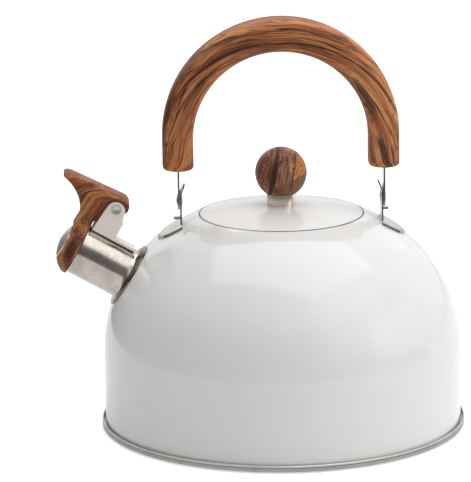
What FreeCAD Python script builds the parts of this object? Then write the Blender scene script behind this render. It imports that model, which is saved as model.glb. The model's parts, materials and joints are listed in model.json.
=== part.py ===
"""Stovetop whistling kettle: domed enamelled body, lid, folding handle and flip-up whistle.

Millimetres, +Z up. The origin is the centre of the flat face the kettle rests on.
The spout points along -X and the handle arches over the lid in the XZ plane.
"""
import FreeCAD, Part
import math
import os
import Sketcher

V = FreeCAD.Vector
doc = FreeCAD.newDocument("Kettle")

# ---------------------------------------------------------------- driving sizes
SIZES = [
    ("WallRadius", 106.0, "straight wall, outer radius"),
    ("ShoulderLevel", 46.4, "height where the wall turns into the shoulder"),
    ("ShoulderRadius", 84.8, "profile radius of the shoulder"),
    ("ShoulderTurn", 33.8, "angle from the vertical where shoulder meets crown"),
    ("ShellSheet", 0.7, "sheet of the body and the lid"),
    ("RimStandoff", 2.0, "rolled rim beyond the wall"),
    ("RimLift", 1.0, "rim above the table"),
    ("RimHeight", 3.7, "height of the rolled rim"),
    ("PanSheet", 0.8, "sheet of the base pan and its rim"),
    ("PanFloor", 4.6, "underside of the pan floor above the table"),
    ("CapsuleRadius", 85.0, "heat-spreading base, outer radius"),
    ("CapsuleSheet", 0.6, "steel cover of the base"),
    ("CapsuleEdge", 1.6, "rounded lower edge of the base"),
    ("LidRadius", 48.1, "lid, outer radius"),
    ("LidGap", 0.4, "seam around the lid"),
    ("LidRise", 5.4, "crown of the lid above its edge"),
    ("LidEdge", 2.0, "height of the hemmed lid edge"),
    ("LidHem", 1.6, "width of the hem"),
    ("LedgeWidth", 4.7, "ledge that the lid rests on"),
    ("NeckDepth", 5.0, "neck below the ledge"),
    ("SkirtGap", 0.4, "lid skirt inside the neck"),
    ("SkirtSheet", 0.6, "sheet of the skirt"),
    ("SkirtDepth", 10.0, "skirt below the ledge"),
    ("BallRadius", 15.2, "lid knob"),
    ("CollarRadius", 8.5, "collar under the knob"),
    ("CollarHeight", 6.2, "collar height"),
    ("CollarSheet", 0.8, "sheet of the collar"),
    ("ScrewRadius", 2.0, "knob screw shank"),
    ("ScrewHeadRadius", 4.0, "knob screw head"),
    ("ScrewHeadHeight", 2.4, "knob screw head"),
    ("ScrewHoleGap", 0.2, "screw clearance in lid and collar"),
    ("RecessWidth", 0.9, "cross recess of the screw"),
    ("WasherRadius", 6.0, "washer under the lid"),
    ("WasherSheet", 0.8, "washer thickness"),
    ("InsertRadius", 3.5, "threaded insert in the knob"),
    ("InsertDepth", 12.0, "length of the insert"),
    ("SpoutTilt", 30.0, "spout axis above the horizontal"),
    ("SpoutSeat", 33.0, "place of the spout on the shoulder arc"),
    ("SpoutLength", 32.0, "spout from the body to its mouth"),
    ("SpoutRadius", 15.3, "spout, outer radius"),
    ("SpoutSheet", 0.7, "spout sheet"),
    ("HoleStep", 0.3, "hole in the body inside the spout's wall, radial"),
    ("FlangeLip", 4.55, "flange beyond the spout, radial"),
    ("FlangeSheet", 1.0, "flange lip on the body"),
    ("FlareRadius", 3.3, "curve from the spout into its flange"),
    ("PivotSetback", 7.8, "whistle pivot behind the mouth"),
    ("PivotStand", 17.05, "whistle pivot above the spout's wall"),
    ("BracketHalf", 6.9, "bracket ears, half length at the spout"),
    ("BracketRound", 5.6, "rounded tops of the bracket ears"),
    ("BracketTop", 4.5, "bracket ears above the pivot"),
    ("BracketSheet", 1.0, "bracket sheet"),
    ("BracketTail", 14.5, "bracket foot behind its web"),
    ("BracketWeb", 5.5, "top of the web below the pivot"),
    ("SaddleSink", 0.3, "bracket foot below the top of the spout"),
    ("HubHalf", 5.2, "lever between the ears, half width"),
    ("HubGap", 0.2, "lever hub beside each ear"),
    ("PinRadius", 1.5, "whistle hinge pin"),
    ("PinGap", 0.05, "lever on its pin, radial"),
    ("PinHeadRadius", 2.9, "pin heads"),
    ("PinHeadHeight", 0.7, "pin heads"),
    ("DimpleRadius", 2.4, "dimple in a pin head"),
    ("DimpleDepth", 0.5, "dimple in a pin head"),
    ("LeverHalf", 8.0, "lever, half width"),
    ("LeverReach", 37.8, "thumb end ahead of the pivot"),
    ("LeverTop", 8.9, "back of the lever above the pivot"),
    ("ThumbTop", 6.7, "thumb end, upper side above the pivot"),
    ("ThumbUnder", 2.6, "thumb end, under side above the pivot"),
    ("HeelReach", 6.5, "heel behind the pivot"),
    ("NeckFront", 17.6, "front of the neck ahead of the pivot"),
    ("NeckRadius", 24.0, "curve under the thumb"),
    ("EarRecess", 7.7, "recess around each ear, radius"),
    ("RecessBack", 0.9, "recess centre behind the pivot"),
    ("RecessDrop", 0.6, "recess centre below the pivot"),
    ("EarSideGap", 0.8, "recess ahead of each ear"),
    ("ShoulderBlend", 10.0, "curve from the lever's side into its head"),
    ("HeadLip", 1.7, "whistle head beyond the spout, radial"),
    ("HeadDepth", 8.8, "whistle head, depth"),
    ("HeadEdge", 0.8, "flat edge of the head"),
    ("HeadCurve", 13.5, "profile radius of the head's front"),
    ("MouthGap", 0.3, "whistle plate before the mouth"),
    ("PlateSheet", 0.5, "whistle plate"),
    ("PlateMargin", 0.1, "plate inside the head's edge"),
    ("CapRadius", 9.7, "whistle cap"),
    ("CapSheet", 0.5, "whistle cap sheet"),
    ("CapRise", 2.3, "dome of the cap"),
    ("WhistleHole", 1.5, "sounding holes"),
    ("SpringWire", 0.8, "lever spring wire"),
    ("SpringGap", 0.4, "spring around the pin, radial"),
    ("SpringBend", 50.0, "angle between the spring's legs"),
    ("SpringArm", 10.2, "spring leg that bears on the lever"),
    ("SpringSlotHalf", 2.4, "slot for the spring in the hub"),
    ("HandleReach", 60.5, "handle straps from the centre plane"),
    ("HingeRise", 14.08736, "handle rivets above the body at the ears"),
    ("EarSheet", 1.0, "ear sheet"),
    ("EarHalf", 7.5, "upright tab of an ear, half width"),
    ("EarTop", 10.3, "top of the ear above its rivet"),
    ("EarBend", 4.8, "start of the ear's lean above its rivet"),
    ("EarLean", 2.3, "lean of the ear's top"),
    ("LeafHalf", 13.2, "welded leaf of an ear, half width"),
    ("LeafReach", 13.4, "welded leaf, length"),
    ("LeafSheet", 1.2, "welded leaf thickness"),
    ("LugReach", 4.0, "stop lug beyond the ear"),
    ("LugWidth", 5.0, "stop lug"),
    ("LugSheet", 1.2, "stop lug"),
    ("LugGap", 0.4, "strap above the lug when folded"),
    ("StrapSheet", 1.0, "handle strap"),
    ("StrapHalf", 7.5, "handle strap, half width"),
    ("StrapEnd", 4.3, "strap below its rivet"),
    ("StrapTuck", 15.0, "strap inside the grip"),
    ("StrapGap", 0.2, "strap beside the ear"),
    ("RivetRadius", 2.2, "handle rivet"),
    ("RivetGap", 0.08, "strap on its rivet, radial"),
    ("RivetHeadRadius", 4.4, "rivet heads"),
    ("RivetHeadHeight", 0.9, "rivet heads"),
    ("GripRise", 18.5, "lower ends of the grip above the rivets"),
    ("GripLeg", 18.4, "straight inner side of a grip leg"),
    ("GripThickness", 18.2, "grip at its legs"),
    ("GripCrown", 20.0, "grip at the top"),
    ("GripDepth", 24.0, "grip front to back"),
    ("GripRound", 8.4, "rounded edges of the grip"),
    ("GripEndRound", 2.2, "rounded lower ends"),
]

sheet = doc.addObject("Spreadsheet::Sheet", "Sizes")


class Size:
    """A length or angle together with the spreadsheet expression behind it."""

    def __init__(self, value, text):
        self.value = float(value)
        self.text = text

    def __add__(self, other):
        other = size(other)
        return Size(self.value + other.value, "(%s + %s)" % (self.text, other.text))

    def __sub__(self, other):
        other = size(other)
        return Size(self.value - other.value, "(%s - %s)" % (self.text, other.text))

    def __mul__(self, other):
        other = size(other)
        return Size(self.value * other.value, "(%s * %s)" % (self.text, other.text))

    def __truediv__(self, other):
        other = size(other)
        return Size(self.value / other.value, "(%s / %s)" % (self.text, other.text))

    def __neg__(self):
        return Size(-self.value, "(0 - %s)" % self.text)

    __radd__ = __add__
    __rmul__ = __mul__

    def __rsub__(self, other):
        return size(other) - self


def size(value):
    return value if isinstance(value, Size) else Size(value, repr(float(value)))


def root(a):
    return Size(math.sqrt(a.value), "sqrt(%s)" % a.text)


def sine(a):
    return Size(math.sin(math.radians(a.value)), "sin(%s)" % a.text)


def cosine(a):
    return Size(math.cos(math.radians(a.value)), "cos(%s)" % a.text)


row_count = 0


def cell(name, text, note):
    """Write one row of the sheet and give it its alias."""
    global row_count
    row_count += 1
    sheet.set("A%d" % row_count, note)
    sheet.set("B%d" % row_count, text)
    sheet.setAlias("B%d" % row_count, name)


D = {}
for size_name, number, meaning in SIZES:
    cell(size_name, str(number), meaning)
    D[size_name] = Size(number, "Sizes." + size_name)


def derive(name, value, note):
    """Keep a derived size in the sheet, as a formula of the driving ones."""
    cell(name, "=" + value.text.replace("Sizes.", ""), note)
    D[name] = Size(value.value, "Sizes." + name)
    return D[name]


# ---------------------------------------------------------------- derived sizes
derive("ShoulderCentre", D["WallRadius"] - D["ShoulderRadius"], "centre of the shoulder arc")
derive("CrownRadius", D["ShoulderRadius"] + D["ShoulderCentre"] / sine(D["ShoulderTurn"]),
       "sphere of the crown")
derive("CrownCentre", D["ShoulderLevel"]
       - D["ShoulderCentre"] * cosine(D["ShoulderTurn"]) / sine(D["ShoulderTurn"]),
       "height of the crown's centre")


def crown(radius, offset=0.0):
    """Height of the crown surface, raised by offset, at a distance from the axis."""
    ball = D["CrownRadius"] + offset
    return D["CrownCentre"] + root(ball * ball - radius * radius)


derive("SeamRadius", D["LidRadius"] + D["LidGap"], "recess around the lid")
derive("SeamLevel", crown(D["SeamRadius"]), "height of the lid's edge")
derive("LedgeLevel", D["SeamLevel"] - D["LidEdge"], "height of the ledge")
derive("NeckRadiusInside", D["SeamRadius"] - D["LedgeWidth"], "lid opening")
derive("LidSphere", (D["LidRadius"] * D["LidRadius"] + D["LidRise"] * D["LidRise"])
       / (D["LidRise"] * 2), "sphere of the lid")
derive("LidTop", D["SeamLevel"] + D["LidRise"], "height of the lid's crown")
derive("LidCentre", D["LidTop"] - D["LidSphere"], "height of the lid sphere's centre")


def lid(radius, offset=0.0):
    """Height of the lid surface, raised by offset, at a distance from the axis."""
    ball = D["LidSphere"] + offset
    return D["LidCentre"] + root(ball * ball - radius * radius)


derive("CollarTop", D["LidTop"] + D["CollarHeight"], "underside of the knob")
derive("BallCentre", D["CollarTop"] + root(D["BallRadius"] * D["BallRadius"]
                                           - D["CollarRadius"] * D["CollarRadius"]),
       "centre of the knob")
derive("SpoutFootX", -(D["ShoulderCentre"] + D["ShoulderRadius"] * cosine(D["SpoutSeat"])),
       "spout axis on the body")
derive("SpoutFootZ", D["ShoulderLevel"] + D["ShoulderRadius"] * sine(D["SpoutSeat"]),
       "spout axis on the body")
derive("SpoutHole", D["SpoutRadius"] - D["HoleStep"], "hole in the body under the spout")
derive("FlangeRadius", D["SpoutRadius"] + D["FlangeLip"], "flange around the spout")
derive("HeadRadius", D["SpoutRadius"] + D["HeadLip"], "whistle head")
derive("PivotRise", D["SpoutRadius"] + D["PivotStand"], "pivot above the spout's axis")
derive("PivotAlong", D["SpoutLength"] - D["PivotSetback"], "pivot along the spout")
derive("WoodBack", D["SpoutLength"] + D["MouthGap"] + D["PlateSheet"], "back of the head")
derive("EarInside", D["HubHalf"] + D["HubGap"], "bracket ears, inner faces")
derive("BracketWidth", D["EarInside"] + D["BracketSheet"], "bracket, half width")
derive("StrapInside", D["HandleReach"] - D["StrapSheet"] / 2, "inner face of a strap")
derive("TabOutside", D["StrapInside"] - D["StrapGap"], "outer face of an ear")
derive("TabInside", D["TabOutside"] - D["EarSheet"], "inner face of an ear")
derive("HingeLevel", crown(D["TabOutside"]) + D["HingeRise"], "height of the handle rivets")
derive("GripEnd", D["HingeLevel"] + D["GripRise"], "height of the grip's lower ends")
derive("GripArc", D["GripEnd"] + D["GripLeg"], "centre of the grip's inner curve")
derive("GripInside", D["HandleReach"] - D["GripThickness"] / 2, "inner radius of the grip")
derive("GripOutside", D["HandleReach"] + D["GripThickness"] / 2, "outer radius of the grip")
derive("GripOuterArc", D["GripArc"] + D["GripInside"] + D["GripCrown"] - D["GripOutside"],
       "centre of the grip's outer curve")
doc.recompute()

NODES = []
CUTS = []


# ---------------------------------------------------------------- building helpers
def bind(target, prop, value):
    """Set a property now and tie it to the sheet."""
    value = size(value)
    if "." not in prop:
        setattr(target, prop, value.value)
    target.setExpression(prop, value.text)


def place(target, x=0.0, y=0.0, z=0.0, axis=(0, 0, 1), angle=0.0):
    """Placement with every coordinate tied to the sheet."""
    x, y, z, angle = size(x), size(y), size(z), size(angle)
    turn = FreeCAD.Rotation(V(*axis), angle.value)
    target.Placement = FreeCAD.Placement(V(x.value, y.value, z.value), turn)
    for name, value in (("x", x), ("y", y), ("z", z)):
        target.setExpression("Placement.Base." + name, value.text)
    if "Sizes" in angle.text:
        target.setExpression("Placement.Rotation.Angle", angle.text)


def place_on_spout(target, across=0.0, along=0.0):
    """Local Z runs along the spout axis and local X points up across it."""
    across, along = size(across), size(along)
    tilt = D["SpoutTilt"]
    place(target,
          x=D["SpoutFootX"] - along * cosine(tilt) + across * sine(tilt),
          z=D["SpoutFootZ"] + along * sine(tilt) + across * cosine(tilt),
          axis=(0, 1, 0), angle=tilt - 90)


def new_body(name):
    return doc.addObject("PartDesign::Body", name)


def sketch_on(body, name, role):
    sketch = body.newObject("Sketcher::SketchObject", name)
    plane = [f for f in body.Origin.OriginFeatures if f.Role == role][0]
    sketch.AttachmentSupport = [(plane, "")]
    sketch.MapMode = "FlatFace"
    return sketch


def pin_point(sketch, geometry, vertex, x, y):
    """Tie one sketch point to its two coordinates."""
    for kind, value in (("DistanceX", x), ("DistanceY", y)):
        number = sketch.addConstraint(
            Sketcher.Constraint(kind, -1, 1, geometry, vertex, value.value))
        sketch.setExpression("Constraints[%d]" % number, value.text)


def arc_centre(start, end, radius, side):
    """Centre of the arc from start to end; side +1 has it on the left of the way."""
    chord = end - start
    half = chord.Length / 2
    lift = math.sqrt(max(radius * radius - half * half, 0.0))
    normal = V(-chord.y, chord.x, 0).normalize()
    return (start + end) * 0.5 + normal * (lift * side)


def outline(sketch, steps):
    """Closed outline. A step is (x, y), or (x, y, radius, side) when an arc leads to it."""
    steps = [(size(s[0]), size(s[1])) + tuple(s[2:]) for s in steps]
    points = [V(s[0].value, s[1].value, 0) for s in steps]
    ends = []
    for i, step in enumerate(steps):
        start, end = points[i - 1], points[i]
        if len(step) == 2:
            number = sketch.addGeometry(Part.LineSegment(start, end), False)
            ends.append((number, 1, 2))
            continue
        radius, side = size(step[2]), step[3]
        centre = arc_centre(start, end, radius.value, side)
        circle = Part.Circle(centre, V(0, 0, 1), radius.value)
        a0 = math.atan2(start.y - centre.y, start.x - centre.x)
        a1 = math.atan2(end.y - centre.y, end.x - centre.x)
        if side < 0:
            a0, a1 = a1, a0
        if a1 < a0:
            a1 += 2 * math.pi
        number = sketch.addGeometry(Part.ArcOfCircle(circle, a0, a1), False)
        ends.append((number, 1, 2) if side > 0 else (number, 2, 1))
        bound = sketch.addConstraint(Sketcher.Constraint("Radius", number, radius.value))
        sketch.setExpression("Constraints[%d]" % bound, radius.text)
    for i, (number, start_vertex, end_vertex) in enumerate(ends):
        following = ends[(i + 1) % len(ends)]
        sketch.addConstraint(Sketcher.Constraint("Coincident", number, end_vertex,
                                                 following[0], following[1]))
        pin_point(sketch, number, end_vertex, steps[i][0], steps[i][1])


def ring(sketch, x, y, radius):
    """Full circle."""
    x, y, radius = size(x), size(y), size(radius)
    number = sketch.addGeometry(
        Part.Circle(V(x.value, y.value, 0), V(0, 0, 1), radius.value), False)
    pin_point(sketch, number, 3, x, y)
    bound = sketch.addConstraint(Sketcher.Constraint("Radius", number, radius.value))
    sketch.setExpression("Constraints[%d]" % bound, radius.text)


def spun(name, steps):
    """Body of revolution about local Z from a half profile of (radius, height) steps."""
    body = new_body(name)
    sketch = sketch_on(body, name + "_profile", "XZ_Plane")
    outline(sketch, steps)
    turn = body.newObject("PartDesign::Revolution", name + "_turn")
    turn.Profile = sketch
    turn.ReferenceAxis = (sketch, ["V_Axis"])
    turn.Angle = 360.0
    return body


def pad(body, name, sketch, length):
    feature = body.newObject("PartDesign::Pad", name)
    feature.Profile = sketch
    feature.SideType = "Symmetric"
    bind(feature, "Length", length)
    return feature


def pocket(body, name, sketch, length):
    """Pocket both ways from the sketch; it has to take material away."""
    doc.recompute()
    before = body.Shape.Volume
    feature = body.newObject("PartDesign::Pocket", name)
    feature.Profile = sketch
    feature.SideType = "Symmetric"
    bind(feature, "Length", length)
    doc.recompute()
    CUTS.append((feature.Name, before, body.Shape.Volume))
    return feature


def slab(name, role, steps, thickness, holes=()):
    """Flat piece: an outline on an origin plane, padded evenly to both sides."""
    body = new_body(name)
    sketch = sketch_on(body, name + "_outline", role)
    outline(sketch, steps)
    for x, y, radius in holes:
        ring(sketch, x, y, radius)
    pad(body, name + "_pad", sketch, thickness)
    return body


def fused(name, pieces):
    whole = doc.addObject("Part::MultiFuse", name)
    whole.Shapes = pieces
    return whole


def cut(name, base, tool):
    result = doc.addObject("Part::Cut", name)
    result.Base = base
    result.Tool = tool
    doc.recompute()
    CUTS.append((name, base.Shape.Volume, result.Shape.Volume))
    return result


def common(name, first, second):
    result = doc.addObject("Part::Common", name)
    result.Base = first
    result.Tool = second
    return result


def rod(name, radius, length):
    """Cylinder along local Z, starting at zero."""
    cylinder = doc.addObject("Part::Cylinder", name)
    bind(cylinder, "Radius", radius)
    bind(cylinder, "Height", length)
    return cylinder


def block(name, x, y, z):
    """Box centred on local Y; x and z start at zero."""
    box = doc.addObject("Part::Box", name)
    bind(box, "Length", x)
    bind(box, "Width", y)
    bind(box, "Height", z)
    return box


def node(target, label):
    target.Label = label
    NODES.append(target)
    return target


# ---------------------------------------------------------------- body
def dome_form(name, offset):
    """Solid filling the body's outer surface, raised by offset."""
    offset = size(offset)
    ball = D["CrownRadius"] + offset
    turn = D["ShoulderTurn"]
    return spun(name, [
        (0, 0),
        (D["WallRadius"] + offset, 0),
        (D["WallRadius"] + offset, D["ShoulderLevel"]),
        (ball * sine(turn), D["CrownCentre"] + ball * cosine(turn),
         D["ShoulderRadius"] + offset, 1),
        (0, D["CrownCentre"] + ball, ball, 1),
    ])


def shell_layer(name, sheet_size):
    """Sheet lying on the outside of the body."""
    return cut(name, dome_form(name + "_outside", sheet_size), dome_form(name + "_inside", 0))


def build_body_shell():
    wall = D["ShellSheet"]
    turn = D["ShoulderTurn"]
    inner_ball = D["CrownRadius"] - wall
    foot = D["RimLift"] + D["PanSheet"]
    recess = D["SeamRadius"] + wall
    neck = D["NeckRadiusInside"] + wall
    ledge = D["LedgeLevel"]
    shell = spun("shell_form", [
        (D["WallRadius"] - wall, foot),
        (D["WallRadius"], foot),
        (D["WallRadius"], D["ShoulderLevel"]),
        (D["CrownRadius"] * sine(turn), D["CrownCentre"] + D["CrownRadius"] * cosine(turn),
         D["ShoulderRadius"], 1),
        (D["SeamRadius"], D["SeamLevel"], D["CrownRadius"], 1),
        (D["SeamRadius"], ledge),
        (D["NeckRadiusInside"], ledge),
        (D["NeckRadiusInside"], ledge - D["NeckDepth"]),
        (neck, ledge - D["NeckDepth"]),
        (neck, ledge - wall),
        (recess, ledge - wall),
        (recess, crown(recess, -wall)),
        (inner_ball * sine(turn), D["CrownCentre"] + inner_ball * cosine(turn), inner_ball, -1),
        (D["WallRadius"] - wall, D["ShoulderLevel"], D["ShoulderRadius"] - wall, -1),
    ])
    hole = rod("spout_hole", D["SpoutHole"], D["SpoutLength"] * 2)
    place_on_spout(hole, along=-D["SpoutLength"])
    node(cut("shell", shell, hole), "body_shell")


def build_base():
    sheet_size = D["PanSheet"]
    rim = D["WallRadius"] + D["RimStandoff"]
    well = D["WallRadius"] - D["ShellSheet"]
    floor = D["PanFloor"]
    low = D["RimLift"]
    high = low + D["RimHeight"]
    node(spun("pan", [
        (0, floor),
        (well - sheet_size, floor),
        (well - sheet_size, low),
        (rim, low),
        (rim, high - sheet_size / 2),
        (rim - sheet_size / 2, high, sheet_size / 2, 1),
        (rim - sheet_size, high - sheet_size / 2, sheet_size / 2, 1),
        (rim - sheet_size, low + sheet_size),
        (well, low + sheet_size),
        (well, floor + sheet_size),
        (0, floor + sheet_size),
    ]), "base_pan")
    inside = D["CapsuleRadius"] - D["CapsuleSheet"]
    node(spun("core", [
        (0, D["CapsuleSheet"]),
        (inside, D["CapsuleSheet"]),
        (inside, floor),
        (0, floor),
    ]), "capsule_core")
    edge = D["CapsuleEdge"]
    node(spun("cover", [
        (0, 0),
        (D["CapsuleRadius"] - edge, 0),
        (D["CapsuleRadius"], edge, edge, 1),
        (D["CapsuleRadius"], floor),
        (inside, floor),
        (inside, D["CapsuleSheet"]),
        (0, D["CapsuleSheet"]),
    ]), "capsule_cover")


# ---------------------------------------------------------------- lid
def build_lid():
    wall = D["ShellSheet"]
    hole = D["ScrewRadius"] + D["ScrewHoleGap"]
    hem = D["LidRadius"] - D["LidHem"]
    inner = D["LidSphere"] - wall
    node(spun("lid", [
        (hole, lid(hole, -wall)),
        (hem, lid(hem, -wall), inner, -1),
        (hem, D["LedgeLevel"]),
        (D["LidRadius"], D["LedgeLevel"]),
        (D["LidRadius"], D["SeamLevel"]),
        (hole, lid(hole), D["LidSphere"], 1),
    ]), "lid_shell")
    outside = D["NeckRadiusInside"] - D["SkirtGap"]
    inside = outside - D["SkirtSheet"]
    foot = D["LedgeLevel"] - D["SkirtDepth"]
    node(spun("skirt", [
        (inside, foot),
        (outside, foot),
        (outside, lid(outside, -wall)),
        (inside, lid(inside, -wall), inner, 1),
    ]), "lid_skirt")


def build_knob():
    collar = D["CollarRadius"]
    thin = D["CollarSheet"]
    top = D["CollarTop"]
    hole = D["ScrewRadius"] + D["ScrewHoleGap"]
    node(spun("collar", [
        (collar - thin, lid(collar - thin)),
        (collar, lid(collar), D["LidSphere"], -1),
        (collar, top),
        (hole, top),
        (hole, top - thin),
        (collar - thin, top - thin),
    ]), "knob_collar")
    node(spun("ball", [
        (D["InsertRadius"], top),
        (collar, top),
        (0, D["BallCentre"] + D["BallRadius"], D["BallRadius"], 1),
        (0, top + D["InsertDepth"]),
        (D["InsertRadius"], top + D["InsertDepth"]),
    ]), "lid_knob")
    node(spun("insert", [
        (D["ScrewRadius"], top),
        (D["InsertRadius"], top),
        (D["InsertRadius"], top + D["InsertDepth"]),
        (D["ScrewRadius"], top + D["InsertDepth"]),
    ]), "knob_insert")
    seat = lid(D["WasherRadius"], -D["ShellSheet"])
    under = seat - D["WasherSheet"]
    node(spun("washer", [
        (hole, under),
        (D["WasherRadius"], under),
        (D["WasherRadius"], seat),
        (hole, seat),
    ]), "knob_washer")
    head = D["ScrewHeadRadius"]
    low = under - D["ScrewHeadHeight"]
    screw = spun("screw_form", [
        (0, low),
        (head - D["ScrewHeadHeight"] / 2, low),
        (head, low + D["ScrewHeadHeight"] / 2, D["ScrewHeadHeight"] / 2, 1),
        (head, under),
        (D["ScrewRadius"], under),
        (D["ScrewRadius"], top + D["InsertDepth"] - D["CollarSheet"]),
        (0, top + D["InsertDepth"] - D["CollarSheet"]),
    ])
    width = D["RecessWidth"]
    span = head * 1.2
    bars = []
    for name, x, y in (("recess_x", span, width), ("recess_y", width, span)):
        bar = block(name, x, y, D["ScrewHeadHeight"])
        place(bar, x=-x / 2, y=-y / 2, z=low - D["ScrewHeadHeight"] / 2)
        bars.append(bar)
    node(cut("screw", screw, fused("cross_recess", bars)), "knob_screw")


# ---------------------------------------------------------------- spout and whistle
def build_spout():
    outside = D["SpoutRadius"]
    bore = outside - D["SpoutSheet"]
    flare = D["FlareRadius"]
    root_level = -D["FlangeRadius"] * 0.5
    lip = layer_under_flange()
    sag = outside * outside / (D["ShoulderRadius"] * 2)
    start = D["FlangeSheet"] * 0.5 - sag
    tube = spun("tube_form", [
        (bore, root_level),
        (outside + flare * 0.7, root_level),
        (outside + flare * 0.7, start),
        (outside, start + flare, flare, -1),
        (outside, D["SpoutLength"]),
        (bore, D["SpoutLength"]),
    ])
    place_on_spout(tube)
    seated = cut("tube_on_body", tube, dome_form("tube_seat", 0))
    whole = fused("tube_and_lip", [seated, lip])
    bore_tool = rod("tube_bore", bore, D["SpoutLength"] * 2)
    place_on_spout(bore_tool, along=-D["SpoutLength"] / 2)
    node(cut("spout", whole, bore_tool), "spout_tube")


def layer_under_flange():
    """Flange lip: a disc of sheet that follows the body around the spout."""
    disc = rod("flange_disc", D["FlangeRadius"], D["SpoutLength"])
    place_on_spout(disc, along=-D["SpoutLength"] / 2)
    return common("flange_lip", shell_layer("flange_layer", D["FlangeSheet"]), disc)


def build_bracket():
    """Clevis on top of the spout: two ears, a web behind them and a welded foot."""
    half = D["BracketHalf"]
    head = D["BracketRound"]
    sheet_size = D["BracketSheet"]
    foot = -(D["PivotRise"] - D["SpoutRadius"]) - D["SaddleSink"]
    floor = foot + sheet_size + D["SaddleSink"]
    top_centre = D["BracketTop"] - head
    tail = -(half + D["BracketTail"])
    web = -(half + sheet_size * 0.75)
    body = slab("bracket_form", "XZ_Plane", [
        (foot, tail),
        (floor, tail),
        (floor, web),
        (-D["BracketWeb"], web),
        (-D["BracketWeb"], -half),
        (top_centre, -head),
        (top_centre + head, 0, head, 1),
        (top_centre, head, head, 1),
        (foot, half),
    ], D["BracketWidth"] * 2)
    inside = sketch_on(body, "bracket_inside", "XZ_Plane")
    outline(inside, [
        (floor, -half),
        (D["BracketTop"] * 2, -half),
        (D["BracketTop"] * 2, half * 2),
        (floor, half * 2),
    ])
    pocket(body, "bracket_channel", inside, D["EarInside"] * 2)
    hole = sketch_on(body, "bracket_pin", "XZ_Plane")
    ring(hole, 0, 0, D["PinRadius"])
    pocket(body, "bracket_pin_hole", hole, D["BracketWidth"] * 3)
    place_on_spout(body, across=D["PivotRise"], along=D["PivotAlong"])
    tube = rod("bracket_saddle", D["SpoutRadius"], D["SpoutLength"] * 2)
    place_on_spout(tube, along=-D["SpoutLength"] / 2)
    node(cut("bracket", body, tube), "spout_bracket")


def build_pin():
    half = D["BracketWidth"]
    head = D["PinHeadHeight"]
    steps = [(0, -(half + head - D["DimpleDepth"]))]
    steps += [
        (D["DimpleRadius"], -(half + head)),
        (D["PinHeadRadius"], -(half + head)),
        (D["PinHeadRadius"], -half),
        (D["PinRadius"], -half),
        (D["PinRadius"], half),
        (D["PinHeadRadius"], half),
        (D["PinHeadRadius"], half + head),
        (D["DimpleRadius"], half + head),
        (0, half + head - D["DimpleDepth"]),
    ]
    pin = spun("pin", steps)
    tilt = D["SpoutTilt"]
    place(pin,
          x=D["SpoutFootX"] - D["PivotAlong"] * cosine(tilt) + D["PivotRise"] * sine(tilt),
          z=D["SpoutFootZ"] + D["PivotAlong"] * sine(tilt) + D["PivotRise"] * cosine(tilt),
          axis=(1, 0, 0), angle=90)
    node(pin, "hinge_pin")


def build_lever():
    """Thumb lever whose lower end is the round whistle head in front of the mouth."""
    back = D["WoodBack"] - D["PivotAlong"]
    stem_foot = -(D["PivotRise"] - D["CapRadius"]) + 0.8
    half = D["BracketHalf"]
    side = slab("lever_side", "XZ_Plane", [
        (stem_foot, back),
        (-half, back),
        (-half * 0.2, half * 1.1),
        (-D["PinHeadRadius"], D["PinHeadRadius"] * 1.2),
        (-D["PinHeadRadius"] * 1.4, 0),
        (-D["PinHeadRadius"], -D["PinHeadRadius"] * 1.2),
        (D["PinRadius"] * 0.6, -D["HeelReach"]),
        (D["LeverTop"] * 0.5, -D["HeelReach"]),
        (D["LeverTop"], -D["HeelReach"] * 0.3, D["LeverTop"] * 0.52, 1),
        (D["ThumbTop"], D["LeverReach"] - D["ThumbTop"] * 0.7),
        (D["ThumbTop"] * 0.55, D["LeverReach"], D["ThumbTop"] * 0.7, 1),
        (D["ThumbUnder"], D["LeverReach"] - D["ThumbTop"] * 0.1),
        (-(D["PivotRise"] - D["HeadRadius"] - 2.4), D["NeckFront"], D["NeckRadius"], -1),
        (stem_foot, D["NeckFront"]),
    ], D["HeadRadius"] * 2)
    place_on_spout(side, across=D["PivotRise"], along=D["PivotAlong"])
    blend = D["ShoulderBlend"]
    span = D["HeadRadius"] + blend
    blend_side = D["LeverHalf"] + blend
    blend_up = root(span * span - blend_side * blend_side)
    meet_up = blend_up * D["HeadRadius"] / span
    meet_side = blend_side * D["HeadRadius"] / span
    low = D["CapRadius"] * 0.5
    high = D["PivotRise"] + D["LeverTop"] * 2
    front = slab("lever_front", "XY_Plane", [
        (low, -meet_side),
        (meet_up, -meet_side),
        (blend_up, -D["LeverHalf"], blend, -1),
        (high, -D["LeverHalf"]),
        (high, D["LeverHalf"]),
        (blend_up, D["LeverHalf"]),
        (meet_up, meet_side, blend, -1),
        (low, meet_side),
    ], (D["SpoutLength"] + D["LeverReach"]) * 2)
    place_on_spout(front, along=D["PivotAlong"])
    stem = common("lever_stem", side, front)
    rim = D["WoodBack"]
    head = spun("lever_head", [
        (D["CapRadius"], rim),
        (D["HeadRadius"], rim),
        (D["HeadRadius"], rim + D["HeadEdge"]),
        (D["CapRadius"], rim + D["HeadDepth"], D["HeadCurve"], 1),
    ])
    place_on_spout(head)
    whole = fused("lever_whole", [stem, head])
    tools = [cap_bore(), pin_bore(), spring_slot()] + ear_recesses()
    node(cut("lever", whole, fused("lever_cuts", tools)), "whistle_lever")


def cap_bore():
    tool = rod("cap_bore", D["CapRadius"], D["SpoutLength"])
    place_on_spout(tool, along=D["WoodBack"] - D["PlateSheet"])
    return tool


def pin_bore():
    tool = new_body("pin_bore")
    sketch = sketch_on(tool, "pin_bore_ring", "XZ_Plane")
    ring(sketch, 0, 0, D["PinRadius"] + D["PinGap"])
    pad(tool, "pin_bore_pad", sketch, D["LeverHalf"] * 4)
    place_on_spout(tool, across=D["PivotRise"], along=D["PivotAlong"])
    return tool


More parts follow.
